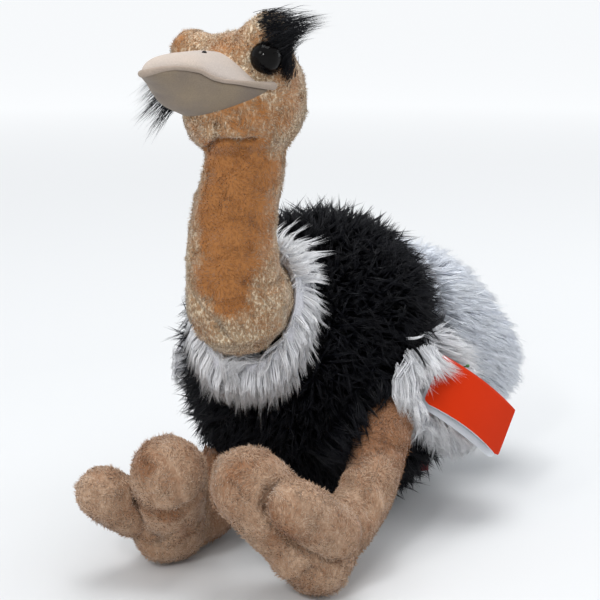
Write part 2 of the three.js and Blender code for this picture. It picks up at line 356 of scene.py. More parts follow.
def fibre_tint_group():
    """Colour of long fibre: darker in the depth of the pile and paler at the tips, as painted shade and
    painted highlight; no two locks quite alike.
    """
    group, given, out, rise, shade = new_group(
        "fibre tint", {"Deep": "Color", "Tip": "Color", "Place": "Vector"}, {"Colour": "Color"})
    lift = maths(group, "MULTIPLY_ADD", shade, 0.55, clouds(group, given["Place"], 45, 2))
    climb = maths(group, "MULTIPLY_ADD", rise, 0.45, lift)
    group.links.new(blend(group, ramp(group, climb, 0.4, 1.35), given["Deep"], given["Tip"]), out["Colour"])
    return group


fibre_tint = fibre_tint_group()


def shag_material(name, deep, tip, roughness, sheen):
    """Long synthetic fibre."""
    material, tree, shader, place = finish_material(name)
    tint = node(tree, "Group", {"Deep": (*deep, 1), "Tip": (*tip, 1), "Place": place}, node_tree=fibre_tint)
    dress(tree, shader, tint.outputs[0], {"Roughness": roughness, "Specular IOR Level": 0.2,
                                          "Sheen Weight": sheen, "Sheen Roughness": 0.4})
    return material


def grained_material(name, colour, scale, detail, tones, strength, depth, values):
    """A plain finish with an even grain. tones are the least and the most of its colour in the grain."""
    material, tree, shader, place = finish_material(name)
    grain = clouds(tree, place, scale, detail)
    low, high = [[min(1, part * tone) for part in colour] for tone in tones]
    dress(tree, shader, blend(tree, grain, low, high), values, grain, strength, depth)
    return material


def backing_material(name, colour):
    """The woven backing cloth that shows between the locks."""
    return grained_material(name, colour, 900, 3, (0.6, 1.3), 0.8, 1, {"Roughness": 0.95})


def lean(normal, pull, stand, chance, stray):
    """Ways of locks that stand off a skin and are combed along a pull, with some stray."""
    along = pull - normal * (pull * normal).sum(1, keepdims=True)
    return unit(normal * stand + along + chance.normal(size=normal.shape) * stray)


black_shag = shag_material("black shag", (0.001, 0.001, 0.0014), (0.004, 0.0045, 0.008), 0.5, 0.0)
black_fur = (black_shag, "black_fur")
trunk_nodes = ["body", "wing_left", "wing_right"]
trunk = sewn_skin("trunk", trunk_nodes, 3, SHAG_DEPTH, 14)
trunk.data.materials.append(backing_material("black backing", (0.003, 0.003, 0.004)))
lay_flat(trunk)

chance = np.random.default_rng(11)
place, normal, flat = roots_on(trunk, SHAG_SPACING, chance)
sewn_over = solids("ruff", "tail", "plume_left", "plume_right", "leg_left", "leg_right")
keep = outside(place + normal * (SHAG_DEPTH + 1.5) * MM, sewn_over, 0.0) & (place[:, 2] > 1.5 * MM)
place, normal, flat = place[keep], normal[keep], flat[keep]
way = lean(normal, np.array([0.0, 0.15, -0.4]), 0.85, chance, 0.45)
reach = SHAG_LENGTH * chance.uniform(0.7, 1.15, len(place)) * MM
reach = kept_in(place, way, reach, solids(*trunk_nodes), 4.5)
reach *= np.where(chance.random(len(place)) < 0.25, 1.35, 1.0)  # one lock in four strays beyond the rest
shag("trunk_coat", (place, normal, flat), way, reach, (5, 1.7, 0.5), 0.36, 2, 3, *black_fur, 12, 0.35)

# ---------- Head and neck ----------
# The neck is a stuffed tube of short crushed plush, bent forward at a sewn elbow above the chest.
# The head is a stuffed ball of the same plush with a padded brow over each eye, gathered under the chin.
PILE_DEPTH = 1.6
HEAD_CENTRE = at(2, -101, 259)
HEAD_TURN, HEAD_LIFT, HEAD_ROLL = (math.radians(angle) for angle in (-14, -9, -12))
head_frame = (Matrix.Translation(HEAD_CENTRE) @ Matrix.Rotation(HEAD_TURN, 4, "Z")
              @ Matrix.Rotation(HEAD_LIFT, 4, "X") @ Matrix.Rotation(HEAD_ROLL, 4, "Y"))


def on_head(x, y, z):
    """A place in millimetres from the middle of the head, with its face towards -y."""
    return head_frame @ (Vector((x, y, z)) * MM)


def crushed_pile_group():
    """Colour and height of crushed plush: deep where it lies flat, pale where it is rubbed up (partly its own
    crushed pattern, partly painted sheen), with painted highlights in flecks, painted shade in the gaps along
    the lie of the pile, and painted shade at the roots of the tufts, which are paler at their tips."""
    group, given, out, rise, shade = new_group(
        "crushed pile", {"Deep": "Color", "Pale": "Color", "Painted Glint": "Color", "Place": "Vector",
                         "Rubbed": "Float", "Speckle": "Float"}, {"Colour": "Color", "Height": "Float"})
    patch = clouds(group, given["Place"], 55, 4)
    combed = vector_maths(group, "MULTIPLY", given["Place"], (1.0, 1.0, 0.5))
    stroke = clouds(group, combed, 420, 3, 0.8)
    grain = clouds(group, combed, 900, 2)
    rubbed = maths(group, "MULTIPLY_ADD", patch, 1.2, given["Rubbed"])
    rubbed = maths(group, "MULTIPLY_ADD", stroke, 0.9, rubbed)
    rubbed = maths(group, "MULTIPLY_ADD", shade, 0.4, rubbed)
    part = ramp(group, rubbed, 0.75, 1.75)
    tone = blend(group, part, given["Deep"], given["Pale"])
    painted_speckle_share = maths(group, "MULTIPLY", part, given["Speckle"])
    # Painted shade: the gaps along the lie of the pile go dark, and the tufts go darker towards their roots.
    gap = ramp(group, stroke, 0.34, 0.5, -0.6, 0.0)
    light = maths(group, "MULTIPLY_ADD", rise, 0.3, maths(group, "MULTIPLY_ADD", gap, painted_speckle_share, 0.9))
    # Painted highlights: pale flecks on the rubbed pile.
    painted_glint = maths(group, "MULTIPLY", ramp(group, grain, 0.51, 0.63), painted_speckle_share)
    shone = blend(group, painted_glint, scaled(group, tone, light), given["Painted Glint"])
    group.links.new(shone, out["Colour"])
    group.links.new(stroke, out["Height"])
    return group


crushed_pile = crushed_pile_group()


def plush_material(name, deep, pale, painted_glint, deep_spots, rubbed, speckle):
    """Short crushed plush. Its pile is rubbed pale, partly as painted sheen, and goes deep coloured in spots,
    some where it lies flat and some as painted shade. A spot is its middle, its size in millimetres, and how
    deep its colour goes.
    The third colour is that of the painted highlights."""
    material, tree, shader, place = finish_material(name)
    drift = node(tree, "TexNoise", {"Vector": place, "Scale": 70, "Detail": 2}).outputs["Color"]
    wander = vector_maths(tree, "SUBTRACT", drift, (0.5, 0.5, 0.5))
    spot_place = vector_maths(tree, "ADD", place, scaled(tree, wander, 22 * MM))
    for middle, size, depth in deep_spots:
        offset = vector_maths(tree, "SUBTRACT", spot_place, middle)
        far = vector_maths(tree, "LENGTH", vector_maths(tree, "DIVIDE", offset, Vector(size) * MM))
        spot = ramp(tree, far, 0.3, 1.6, depth, 0.0, interpolation_type="SMOOTHSTEP")
        rubbed = maths(tree, "SUBTRACT", rubbed, spot)
    pile = node(tree, "Group", {"Deep": (*deep, 1), "Pale": (*pale, 1), "Painted Glint": (*painted_glint, 1), "Place": place,
                                "Rubbed": rubbed, "Speckle": speckle}, node_tree=crushed_pile)
    values = {"Roughness": 0.65, "Specular IOR Level": 0.3, "Sheen Weight": 0.35, "Sheen Roughness": 0.35}
    dress(tree, shader, pile.outputs["Colour"], values, pile.outputs["Height"], 0.7, 0.8)
    return material


noise.seed_set(7)  # without it the swirls would change with the clock


def swirl(places, size, seed):
    """A slowly turning direction at each place, as a hand leaves the lie of a pile."""
    shift = Vector((seed, 2.3 * seed, 5.1 * seed))
    return np.array([noise.noise_vector(Vector(place) / (size * MM) + shift) for place in places])


def from_path(points, path):
    """How far each point lies from a path of places, in millimetres."""
    near = np.full(len(points), 1e9)
    for a, b in zip(path[:-1], path[1:]):
        share = np.clip(((points - a) @ (b - a)) / ((b - a) @ (b - a)), 0, 1)
        near = np.minimum(near, np.linalg.norm(points - a - share[:, None] * (b - a), axis=1))
    return near / MM


PILE_ROOT = 0.3  # how deep in the cloth a tuft starts
SEAM_BARE, SEAM_SHORT = 0.5, 3  # no pile grows nearer to a seam than this, and it is short up to this far


def plush(name, skin, buried, seams, material, slot, seed, spacing, thick, length, pull, crush, size, parts):
    """Short pile: small tufts that stand off a skin and lie along a pull and the swirls of the crush.
    size is how wide the swirls are."""
    chance = np.random.default_rng(seed)
    place, normal, flat = roots_on(skin, spacing, chance)
    keep = outside(place, buried, PILE_ROOT)
    away = np.min([from_path(place, seam) for seam in seams], axis=0) if seams else np.full(len(place), 9.0)
    keep &= away > SEAM_BARE
    place, normal, flat, away = place[keep], normal[keep], flat[keep], away[keep]
    along = np.asarray(pull) + crush * swirl(place, size, seed)
    way = lean(normal, along, 0.2, chance, 0.12)
    reach = length * chance.uniform(0.75, 1.2, len(place)) * np.clip(away / SEAM_SHORT, 0.3, 1.0) * MM
    start = place - normal * PILE_ROOT * MM
    end = place + way * reach[:, None]
    shade = chance.random(len(place))
    radius = thick * chance.uniform(0.8, 1.25, len(place))
    order = np.argsort(place[:, 2], kind="stable")
    for part, index in enumerate(np.array_split(order, parts)):
        coat = strands(f"{name}_{part + 1}", start[index], place[index], end[index], radius[index], 1,
                       flat[index], shade[index], material, chance)


def press_crease(skin, path, width, depth):
    """Presses a soft crease into a skin along a path of places. A negative depth raises a fold."""
    points, normals = points_of(skin.data), normals_of(skin.data)
    tree = tree_of(skin)
    path = np.array([tree.find_nearest(place)[0] for place in path])
    sunk = depth * MM * np.exp(-(from_path(points, path) / width) ** 2)
    move_points(skin.data, points - normals * sunk[:, None])
    return path


head = sewn_skin("head_and_neck", ["head", "neck"], 1.4, PILE_DEPTH, 10)
chin_seam = press_crease(head, [at(-12, -120, 226), at(-8, -123, 228), at(-1, -130, 232), at(5, -132, 234),
                                at(10, -131.5, 235), at(15, -129, 234.5), at(21, -124, 234)], 1.6, 6.0)
for path, width, depth in (
    ([at(-8, -130, 234), at(-1, -135, 239), at(8, -134, 240), at(17, -130, 240)], 3.2, -2.4),
    ([at(4.5, -137, 244), at(4, -134, 238), at(3.5, -132, 235)], 1.6, 2.2),
    ([at(15, -123, 160), at(23, -115, 156), at(25, -95, 158)], 3.0, 2.4),
    ([at(-18, -125, 150), at(-2, -131, 139), at(4, -129, 127)], 2.4, 2.4),
    ([at(-8, -131, 150), at(9, -129, 147), at(19, -121, 141)], 2.2, 1.5),
):
    press_crease(head, path, width, depth)
for sign in (1, -1):
    socket = on_head(sign * 30, -14, 10)
    press_crease(head, [socket, socket + Vector((0, 0, 0.1 * MM))], 8, 1.5)
tan_plush = plush_material("tan plush", (0.39, 0.157, 0.041), (0.465, 0.35, 0.225), (0.93, 0.82, 0.63), [
    (at(8, -122, 222), (20, 30, 13), 0.9),
    (at(6, -125, 200), (21, 30, 27), 1.0),
    (at(4, -128, 172), (17, 28, 21), 0.9),
    (at(6, -127, 155), (11, 22, 13), 0.6),
    (on_head(12, -25, 18), (22, 16, 11), 0.45),
    (on_head(-25, -7, 24), (11, 13, 11), 0.6),
    (on_head(18, -22, -18), (16, 14, 9), 0.5),
    # These last two spots are painted shade, under the chin and on the cheek.
    (on_head(-16, -20, -25), (13, 14, 10), 0.3),
    (on_head(31, -6, -10), (9, 16, 20), 0.3),
], 0.25, 1.0)
head.data.materials.append(tan_plush)
lay_flat(head)

# ---------- Bill ----------
# The bill is two padded halves of smooth cream nap. A rolled hem runs along the upper lip,
# and a black stitch marks each nostril.
BILL_TIP, BILL_WIDTH, BILL_RIDGE, BILL_KEEL = 73.5, 31.5, 23.2, 14
MOUTH_SHARES = (0, 0.15, 0.30, 0.45, 0.55, 0.62, 0.66, 0.70, 0.78, 0.86, 0.93, 1)
MOUTH_HEIGHTS = (-5.0, -5.9, -5.6, -4.6, -4.2, -3.0, -1.4, 0.3, 1.5, 2.0, 1.3, -0.5)
LIP_TUCK = 0.05 * BILL_WIDTH  # how far the padding draws in at the hem
HEM_RADIUS, HEM_START, HEM_STEPS = 1.15, 0.15, 60


def closing(share, power, root):
    """How much of its full size the bill keeps at a share of the way to its tip."""
    return max(0.0, 1 - share ** power) ** root


def bill_point(share, angle, half, grow=0.0):
    """A place on the bill, at a share of the way to its tip and an angle from the left lip to the right."""
    mouth = float(np.interp(share, MOUTH_SHARES, MOUTH_HEIGHTS))
    root = 0.92 + 0.08 * min(1.0, share / 0.3)
    side = math.cos(angle) * (BILL_WIDTH * root + grow) * closing(share, 1.7, 0.72)
    if half == "upper":
        fall = 18 * share - 7 * share ** 2 + 8 * max(0.0, 1 - share / 0.55) ** 2
        ridge = (BILL_RIDGE - fall + grow) * closing(share, 6, 0.6)
        peaked = 1 + 2.6 * max(0.0, 1 - share / 0.65)
        rise = math.sin(angle) ** peaked * (ridge - mouth * closing(share, 6, 0.6))
    else:
        keel = (BILL_KEEL + grow) * closing(share, 2, 0.8)
        peaked = 1 + 0.9 * max(0.0, 1 - share / 0.6)
        rise = -math.sin(angle) ** peaked * keel
    return on_head(side, -BILL_TIP * share, mouth + rise)


def nap_material(name, colour, blotch_colour):
    """Smooth short nap with a fine even grain, blotched with a second colour in soft patches."""
    material, tree, shader, place = finish_material(name)
    tone = blend(tree, ramp(tree, clouds(tree, place, 45, 2), 0.35, 0.65), colour, blotch_colour)
    grain = clouds(tree, place, 1500, 2)
    nap = scaled(tree, tone, ramp(tree, grain, 0.3, 0.7, 0.9, 1.08))
    values = {"Roughness": 0.85, "Specular IOR Level": 0.25, "Sheen Weight": 0.15}
    dress(tree, shader, nap, values, grain, 0.4, 0.3)
    return material


upper_nap = nap_material("upper bill nap", (0.45, 0.39, 0.35), (0.50, 0.42, 0.36))
# The lower half is darker than the upper, partly its own beige and partly painted shade, as it faces down;
# its darker blotches are painted shade of small dents.
lower_nap = nap_material("lower bill nap", (0.235, 0.185, 0.13), (0.175, 0.14, 0.115))
hem_nap = nap_material("bill hem nap", (0.36, 0.29, 0.24), (0.31, 0.25, 0.20))
bill = {}
for half, nap in (("upper", upper_nap), ("lower", lower_nap)):
    form = bmesh.new()
    bmesh.ops.create_grid(form, x_segments=36, y_segments=44, size=1)
    shell = list(form.verts)
    bmesh.ops.create_grid(form, x_segments=36, y_segments=44, size=1)
    palate = list(form.verts)[len(shell):]
    for vert in shell:
        share = ((vert.co.y + 1) / 2) ** 0.8
        angle = math.pi * (1 - vert.co.x) / 2
        drawn = LIP_TUCK * math.exp(-(math.sin(angle) / 0.16) ** 2)
        vert.co = bill_point(share, angle, half, -drawn)
    for vert in palate:
        share = ((vert.co.y + 1) / 2) ** 0.8
        left, right = [bill_point(share, angle, half, -LIP_TUCK) for angle in (0, math.pi)]
        across = (1 - math.cos(math.pi * (vert.co.x + 1) / 2)) / 2
        vert.co = right.lerp(left, across)
    bmesh.ops.remove_doubles(form, verts=form.verts, dist=0.05 * MM)
    bmesh.ops.holes_fill(form, edges=[edge for edge in form.edges if edge.is_boundary])
    bmesh.ops.recalc_face_normals(form, faces=form.faces)
    pad = new_piece(f"bill_{half}_pad", form, nap)
    pad.data.shade_smooth()
    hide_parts(f"bill_{half}")
    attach(pad, "root")
    bill[half] = pad


def rolled_tube(name, path, radii, sides, material, up=Vector((0, 0, 1))):
    """A closed tube along a path of places, with a radius in millimetres at each."""
    form = bmesh.new()
    rings = []
    last = len(path) - 1
    for i, middle in enumerate(path):
        way = (path[min(i + 1, last)] - path[max(i - 1, 0)]).normalized()
        across = way.cross(up).normalized()
        over = across.cross(way)
        ring = bmesh.ops.create_circle(form, segments=sides, radius=1)["verts"]
        for vert in ring:
            vert.co = middle + (across * vert.co.x + over * vert.co.y) * radii[i] * MM
        rings.append(ring)
    for low, high in zip(rings[:-1], rings[1:]):
        for i in range(sides):
            j = (i + 1) % sides
            form.faces.new([low[i], low[j], high[j], high[i]])
    form.faces.new(rings[0])
    form.faces.new(rings[-1])
    bmesh.ops.recalc_face_normals(form, faces=form.faces)
    tube = new_piece(name, form, material)
    tube.data.shade_smooth()
    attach(tube, "root")
    return tube


up_head = (on_head(0, 0, 1) - on_head(0, 0, 0)).normalized()
hem_shares = np.concatenate([np.linspace(HEM_START, 1, HEM_STEPS), np.linspace(1, HEM_START, HEM_STEPS)[1:]])
hem_path, hem_radii = [], []
for i, share in enumerate(hem_shares):
    angle = 0 if i < HEM_STEPS else math.pi
    thick = HEM_RADIUS + 1.7 * max(0.0, 1 - share / 0.45) + 0.8 * max(0.0, (share - 0.88) / 0.12)
    stand_out = 3.2 * max(0.0, 1 - share / 0.35)
    hem_path.append(bill_point(share, angle, "upper", stand_out) + up_head * thick * 0.5 * MM)
    hem_radii.append(thick * (0.75 if i in (0, len(hem_shares) - 1) else 1))
hem = rolled_tube("bill_hem", hem_path, hem_radii, 14, hem_nap, up_head)

thread_black = backing_material("black thread", (0.01, 0.01, 0.012))
NOSTRIL_SHARE = 0.525
for side, turn in (("left", 0.37), ("right", 0.63)):
    stitch = [bill_point(NOSTRIL_SHARE + step, math.pi * turn, "upper", 0.1)
              for step in (-0.02, -0.01, 0, 0.01, 0.02)]
    slit = rolled_tube(f"nostril_{side}", stitch, (0.3, 0.75, 0.9, 0.75, 0.3), 10, thread_black, up_head)

plush("head_pile", head, [*bill.values(), hem, *solids("eye_left", "eye_right")], [chin_seam], tan_plush,
      "tan_plush", 22, spacing=0.98, thick=0.27, length=2.5, pull=(0, 0.5, -0.3), crush=1.5, size=9, parts=2)

# ---------- Eyes ----------
# Each eye is a polished black plastic ball. It is set in the plush below the brow, with its stem
# fixed through the cloth from inside.
EYE_RADIUS, EYE_OUT, EYE_BACK, EYE_HIGH = 8.2, 28.5, -13.5, 10
eye_material, eye_tree, eye_shader, eye_place = finish_material("polished black")
haze = ramp(eye_tree, clouds(eye_tree, eye_place, 250, 2), 0.4, 0.8, 0.02, 0.07)
eye_tree.links.new(haze, eye_shader.inputs["Roughness"])
eye_shader.inputs["Base Color"].default_value = (0.003, 0.0025, 0.0025, 1)
eye_shader.inputs["Specular IOR Level"].default_value = 0.11
for side, sign in (("left", 1), ("right", -1)):
    form = bmesh.new()
    bmesh.ops.create_uvsphere(form, u_segments=40, v_segments=28, radius=EYE_RADIUS * MM,
                              matrix=Matrix.Translation(on_head(sign * EYE_OUT, EYE_BACK, EYE_HIGH)))
    eye = new_piece(f"eye_ball_{side}", form, eye_material)
    eye.data.shade_smooth()
    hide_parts(f"eye_{side}")
    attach(eye, "root")

# ---------- Brow hair ----------
# Long black fibre is sewn in a strip behind each eye and over the brow, and left loose so that it flies out.
# A short fringe of the same fibre stands round the rim of each eye.
HAIRS_IN_CLUMP = 40
hair_black = shag_material("brow hair", (0.0015, 0.0015, 0.002), (0.005, 0.0055, 0.009), 0.5, 0.0)


def along_path(path, shares):
    """Places at shares of the way along a path."""
    path = np.array(path)
    knots = np.linspace(0, 1, len(path))
    return np.stack([np.interp(shares, knots, path[:, axis]) for axis in range(3)], axis=1)


def flat_at(skin, places):
    """The flat places of a skin nearest to these places."""
    uv = skin.data.uv_layers["OFBake"].data
    loop_of = {}
    for loop in skin.data.loops:
        loop_of.setdefault(loop.vertex_index, loop.index)
    tree = tree_of(skin)
    found = []
    for place in places:
        face = skin.data.polygons[tree.find_nearest(Vector(place))[2]]
        found.append(uv[loop_of[face.vertices[0]]].uv[:])
    return np.array(found)


def flying_hair(name, skin, roots, tips, count, loose, spread, lift, radius, material, seed):
    """Loose hair from places along one path towards places along another, lifted in the middle.
    loose is how far roots and tips stray, and spread the shortest and longest share of the way."""
    chance = np.random.default_rng(seed)
    clumps = chance.random(count // HAIRS_IN_CLUMP)
    shares = np.clip(chance.choice(clumps, count) + chance.normal(size=count) * 0.04, 0, 1)
    start = along_path(roots, shares) + chance.normal(size=(count, 3)) * loose[0] * MM
    end = along_path(tips, np.clip(shares + chance.normal(size=count) * 0.03, 0, 1))
    end += chance.normal(size=(count, 3)) * loose[1] * MM
    part = spread[0] + (spread[1] - spread[0]) * chance.random(count)[:, None] ** 2.1
    end = start + (end - start) * part
    knee = (start + end) / 2 + np.array(lift) * MM * chance.uniform(0.2, 1.4, count)[:, None] * part
    shade = chance.random(count)
    thick = radius * chance.uniform(0.7, 1.2, count)
    coat = strands(name, start, knee, end, thick, 3, flat_at(skin, start), shade, material, chance)
    return coat


up_brow = np.array(up_head)
brow = flying_hair(
    "brow_hair_left", head,
    [on_head(31, -1, 1), on_head(32, -5, 8), on_head(34, -14, 16), on_head(34, -16, 23),
     on_head(31, -16, 28)],
    [on_head(37, 0, 8), on_head(40, -4, 18), on_head(48, 12, 27), on_head(46, 24, 32), on_head(33, 10, 38)],
    2000, (2.4, 2.2), (0.2, 1.0), up_brow * 4, 0.15, hair_black, 51)
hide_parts("lash_left")
brow = flying_hair(
    "brow_hair_right", head,
    [on_head(-33, -5, 24), on_head(-34, -9, 16), on_head(-34, -10, 8), on_head(-33, -12, 2)],
    [on_head(-66, -8, 10), on_head(-68, -10, 0), on_head(-66, -12, -12), on_head(-52, -18, -20)],
    800, (2.0, 2.6), (0.35, 1.05), up_brow * 1, 0.16, hair_black, 52)
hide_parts("lash_right")
RIM_STEPS = 12
for side, sign in (("left", 1), ("right", -1)):
    rim, tips = [], []
    for step in range(RIM_STEPS + 1):
        turn = math.tau * step / RIM_STEPS
        across, over = math.cos(turn), math.sin(turn)
        rim.append(on_head(sign * 29.5, EYE_BACK + 7.6 * across, EYE_HIGH + 7.6 * over))
        tips.append(on_head(sign * 32.5, EYE_BACK + 10.5 * across, EYE_HIGH + 10.5 * over))
    flying_hair(f"eye_rim_hair_{side}", head, rim, tips, 350, (0.5, 0.9), (0.5, 1.0), up_brow * 0.2, 0.12,
                hair_black, 53)

# ---------- Legs and feet ----------
# Each leg is a stuffed tube of short plush, sewn to a foot with one big toe. The small toe is a stuffed pad
# of its own, sewn on at the side.
SEAM_WIDTH, EASE_ROUNDS = 3.1, 15  # a crease narrower than this and deeper than 1 is a sewn seam
leg_creases = {
    "left": [
        ([at(62, -70, 66), at(72, -66.5, 65), at(78, -63, 62), at(81, -53, 56)], 3.2, 2.4),
        ([at(55, -88, 50), at(62, -90, 52), at(71.6, -94, 49.6), at(78, -96, 45), at(80, -96, 38)],
         3.4, -2.6),
        ([at(52, -94, 50), at(62, -98, 49), at(73, -102, 45), at(80, -104, 36)], 3.2, 2.8),
        ([at(50, -169, 66), at(53, -174, 62), at(60, -176, 52), at(63, -170, 42), at(66, -160, 34)],
         3.5, 3.6),
        ([at(56, -158, 12), at(63, -155, 14), at(72, -148, 14)], 11.0, -3.0),
        ([at(31, -176, 80), at(41, -178, 76), at(48, -175, 71)], 3.5, 1.6),
    ],
    "right": [
        ([at(-38, -160, 46), at(-27, -166, 44), at(-15, -167, 41), at(-4, -163, 44), at(3, -152, 50)],
         3.0, 3.4),
        ([at(-18, -167, 79), at(-9, -171, 74), at(-2, -170.5, 67), at(-1, -170, 57), at(-2, -164, 48)],
         1.6, 1.5),
        ([at(-3.7, -161, 44), at(-8, -149, 30), at(-13.5, -137, 15)], 2.0, 1.0),
        ([at(-43, -150, 28), at(-37, -146, 18), at(-32, -142, 12)], 9.0, -4.5),
    ],
}

toe_creases = {
    "left": ([at(57, -170, 71), at(68, -176, 67.5), at(76, -173, 58), at(80, -163.5, 47),
              at(84, -151.5, 33)], 2.0, 1.6),
    "right": ([at(-56, -171, 61), at(-48, -175, 62), at(-42, -173, 57)], 1.6, 1.5),
}

# Spots where the plush of each foot goes deeper coloured.
foot_deep_spots = {
    "left": [(at(37, -177, 77), (13, 14, 6), 0.2), (at(60, -172, 46), (9, 14, 16), 0.35)],
    "right": [(at(-24, -172, 72), (12, 12, 9), 0.4), (at(-10, -168, 42), (20, 12, 6), 0.4)],
}

sole_folds = {"left": (at(60, -158, 24), 13), "right": (at(-38, -147, 22), 8)}
LIMB_PILE = {"spacing": 1.2, "thick": 0.32, "length": 3.0, "pull": (0, -0.4, 0.4), "crush": 1.3, "size": 12,
             "parts": 1}


def press_near(pad, other, reach, depth, inwards=False):
    """Presses a valley into a pad where another lies within reach, or draws the pad into the other one."""
    tree = tree_of(other)
    points, normals = points_of(pad.data), normals_of(pad.data)
    for i, point in enumerate(points):
        place = Vector(point)
        found, normal, _, _ = tree.find_nearest(place)
        gap = (place - found).dot(normal)
        if gap < reach * MM:
            way = np.array(normal) if inwards else normals[i]
            points[i] -= way * depth * MM * (1 - max(gap, 0) / (reach * MM))
    move_points(pad.data, points)


def ease_near(pad, place, radius, rounds):
    """Eases a pad smooth within a radius of a place."""
    form = bmesh.new()
    form.from_mesh(pad.data)
    near = [vert for vert in form.verts if (vert.co - place).length < radius * MM]
    for _ in range(rounds):
        bmesh.ops.smooth_vert(form, verts=near, factor=0.5, use_axis_x=True, use_axis_y=True, use_axis_z=True)
    form.to_mesh(pad.data)
    form.free()


for side in ("left", "right"):
    foot_nodes = [f"{part}_{side}" for part in ("leg", "sole", "toe_inner")]
    foot = sewn_skin(f"leg_and_foot_{side}", foot_nodes, 1.8, 1.0, 18)
    toe = sewn_skin(f"small_toe_{side}", [f"toe_outer_{side}"], 1.6, 0.9, 6)
    ease_near(foot, *sole_folds[side], EASE_ROUNDS)
    seams = []
    for path, width, depth in leg_creases[side]:
        pressed = press_crease(foot, path, width, depth)
        if width < SEAM_WIDTH and depth > 1:
            seams.append(pressed)
    toe_seam = press_crease(toe, *toe_creases[side])
    press_near(toe, foot, 5.0, 3.5, inwards=True)
    press_near(foot, toe, 3.0, 2.2 if side == "left" else 1.4)
    points = points_of(foot.data)
    points[:, 2] = np.maximum(points[:, 2], 1.0 * MM)
    move_points(foot.data, points)
    low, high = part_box(f"leg_{side}")
    knee = Vector(((low.x + high.x) / 2, high.y, high.z))
    # The knee spot turns nearly all of the leg to the deep colour, and that colour is dark, as painted shade.
    deep_spots = [(knee, (45, 65, 50), 1.0), *foot_deep_spots[side]]
    limb_plush = plush_material(f"leg plush {side}", (0.29, 0.137, 0.064), (0.58, 0.41, 0.285),
                                (0.90, 0.72, 0.56), deep_spots, 0.1, 0.3)
    for pad in (foot, toe):
        pad.data.materials.append(limb_plush)
        lay_flat(pad)
    plush(f"foot_pile_{side}", foot, [toe, *solids("body")], seams, limb_plush, "foot_plush", 23, **LIMB_PILE)
    plush(f"toe_pile_{side}", toe, [foot], [toe_seam], limb_plush, "foot_plush", 24, **LIMB_PILE)

# ---------- Hang tag ----------
# The tag is a folded card, coated orange outside and white inside. Its front leaf bows forward from the
# back one. A short bar of green plastic ties it through the trunk.
TAG_LENGTH, TAG_HEIGHT, TAG_THICK, TAG_SPREAD, TAG_CORNER_RADIUS = 58, 35, 0.5, 8, 3.5
FRONT_BOW, FOLD_BOW, BACK_BOW = 6.0, 4.0, 2.5
tag_corner = at(77, -22.5, 76.5)
tag_along = Vector((37, 26, -36)).normalized()
tag_out = tag_along.cross(Vector((3, 28, 20))).normalized()
tag_down = tag_along.cross(tag_out)
tag_frame = Matrix((tag_along, tag_out, tag_down)).transposed().to_4x4()
tag_frame.translation = tag_corner - tag_down * TAG_HEIGHT * MM

CARD_GRAIN = (60, 4, (0.93, 1.06), 0.1, 0.3)
card_orange = grained_material("orange card", (0.52, 0.026, 0.0015), *CARD_GRAIN,
                               {"Roughness": 0.5, "Specular IOR Level": 0.06})
card_white = grained_material("white card", (0.74, 0.76, 0.80), *CARD_GRAIN,
                              {"Roughness": 0.6, "Specular IOR Level": 0.06})
form = bmesh.new()
bmesh.ops.create_grid(form, x_segments=30, y_segments=48, size=1)
for vert in form.verts:
    share, fold = (vert.co.x + 1) / 2, vert.co.y
    drop = abs(fold) * TAG_HEIGHT
    over = max(0.0, drop - (TAG_HEIGHT - TAG_CORNER_RADIUS))
    inset = TAG_CORNER_RADIUS - math.sqrt(TAG_CORNER_RADIUS ** 2 - over ** 2)
    along = inset + share * (TAG_LENGTH - 2 * inset)
    bow = FOLD_BOW + abs(fold) * ((FRONT_BOW if fold < 0 else BACK_BOW) - FOLD_BOW)
    out = 4 * bow * along / TAG_LENGTH * (1 - along / TAG_LENGTH)
    if fold > 0:
        out -= drop * math.sin(math.radians(TAG_SPREAD)) + 0.6
    vert.co = Vector((along, out, drop)) * MM
form.normal_update()
front = min(form.faces, key=lambda face: (face.calc_center_median() - Vector((29, 6, 30)) * MM).length)
if front.normal.y < 0:
    bmesh.ops.reverse_faces(form, faces=form.faces)
tag = new_piece("folded_card", form, card_orange)
tag.data.materials.append(card_white)
tag.data.transform(tag_frame)
card = tag.modifiers.new("card", "SOLIDIFY")
card.thickness = TAG_THICK * MM
card.offset = 0
card.material_offset = 1
card.material_offset_rim = 1
settle(tag)
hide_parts("hang_tag")
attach(tag, "root")

tie_plastic, tie_tree, tie_shader, tie_place = finish_material("green tie plastic")
tie_tone = blend(tie_tree, clouds(tie_tree, tie_place, 300, 2), (0.03, 0.10, 0.02), (0.08, 0.20, 0.05))
dress(tie_tree, tie_shader, tie_tone, {"Roughness": 0.35})
tie_start, tie_end = at(92, 14, 91), at(77, 24, 84)
tie_path = [tie_start.lerp(tie_end, share) for share in (0, 0.04, 0.1, 0.14, 0.3, 0.5, 0.7, 0.85, 0.9, 1)]
tie_radii = (0.5, 1.0, 1.0, 0.5, 0.45, 0.45, 0.45, 0.45, 0.9, 0.5)
tie = rolled_tube("tie_bar", tie_path, tie_radii, 10, tie_plastic)
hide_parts("tag_tie")

# ---------- Ruff ----------
# The ruff is a ring of long straight white shag on a thin pad. It is sewn round the root of the neck, so that
# it hangs over the chest.
RUFF_LEFT_EDGE, RUFF_RIGHT_EDGE, RUFF_DRAW, RUFF_TURN, RUFF_DROP = -14, 10, 0.72, 112, 0.7
RUFF_LENGTH, RUFF_SHORTER = 33, 15
white_shag = shag_material("white shag", (0.66, 0.67, 0.71), (0.98, 0.98, 0.99), 0.6, 0.15)
# The tail shag is tinted blue, most in its depth, as painted bluish shade.
tail_shag = shag_material("tail shag", (0.77, 0.81, 0.90), (0.92, 0.95, 1.0), 0.6, 0.2)
white_fur = (white_shag, "white_fur")
white_backing = backing_material("white backing", (0.60, 0.60, 0.64))


def white_pad(name, nodes, depth):
    pad = sewn_skin(name, nodes, 2.5, depth, 10)
    pad.data.materials.append(white_backing)
    return pad


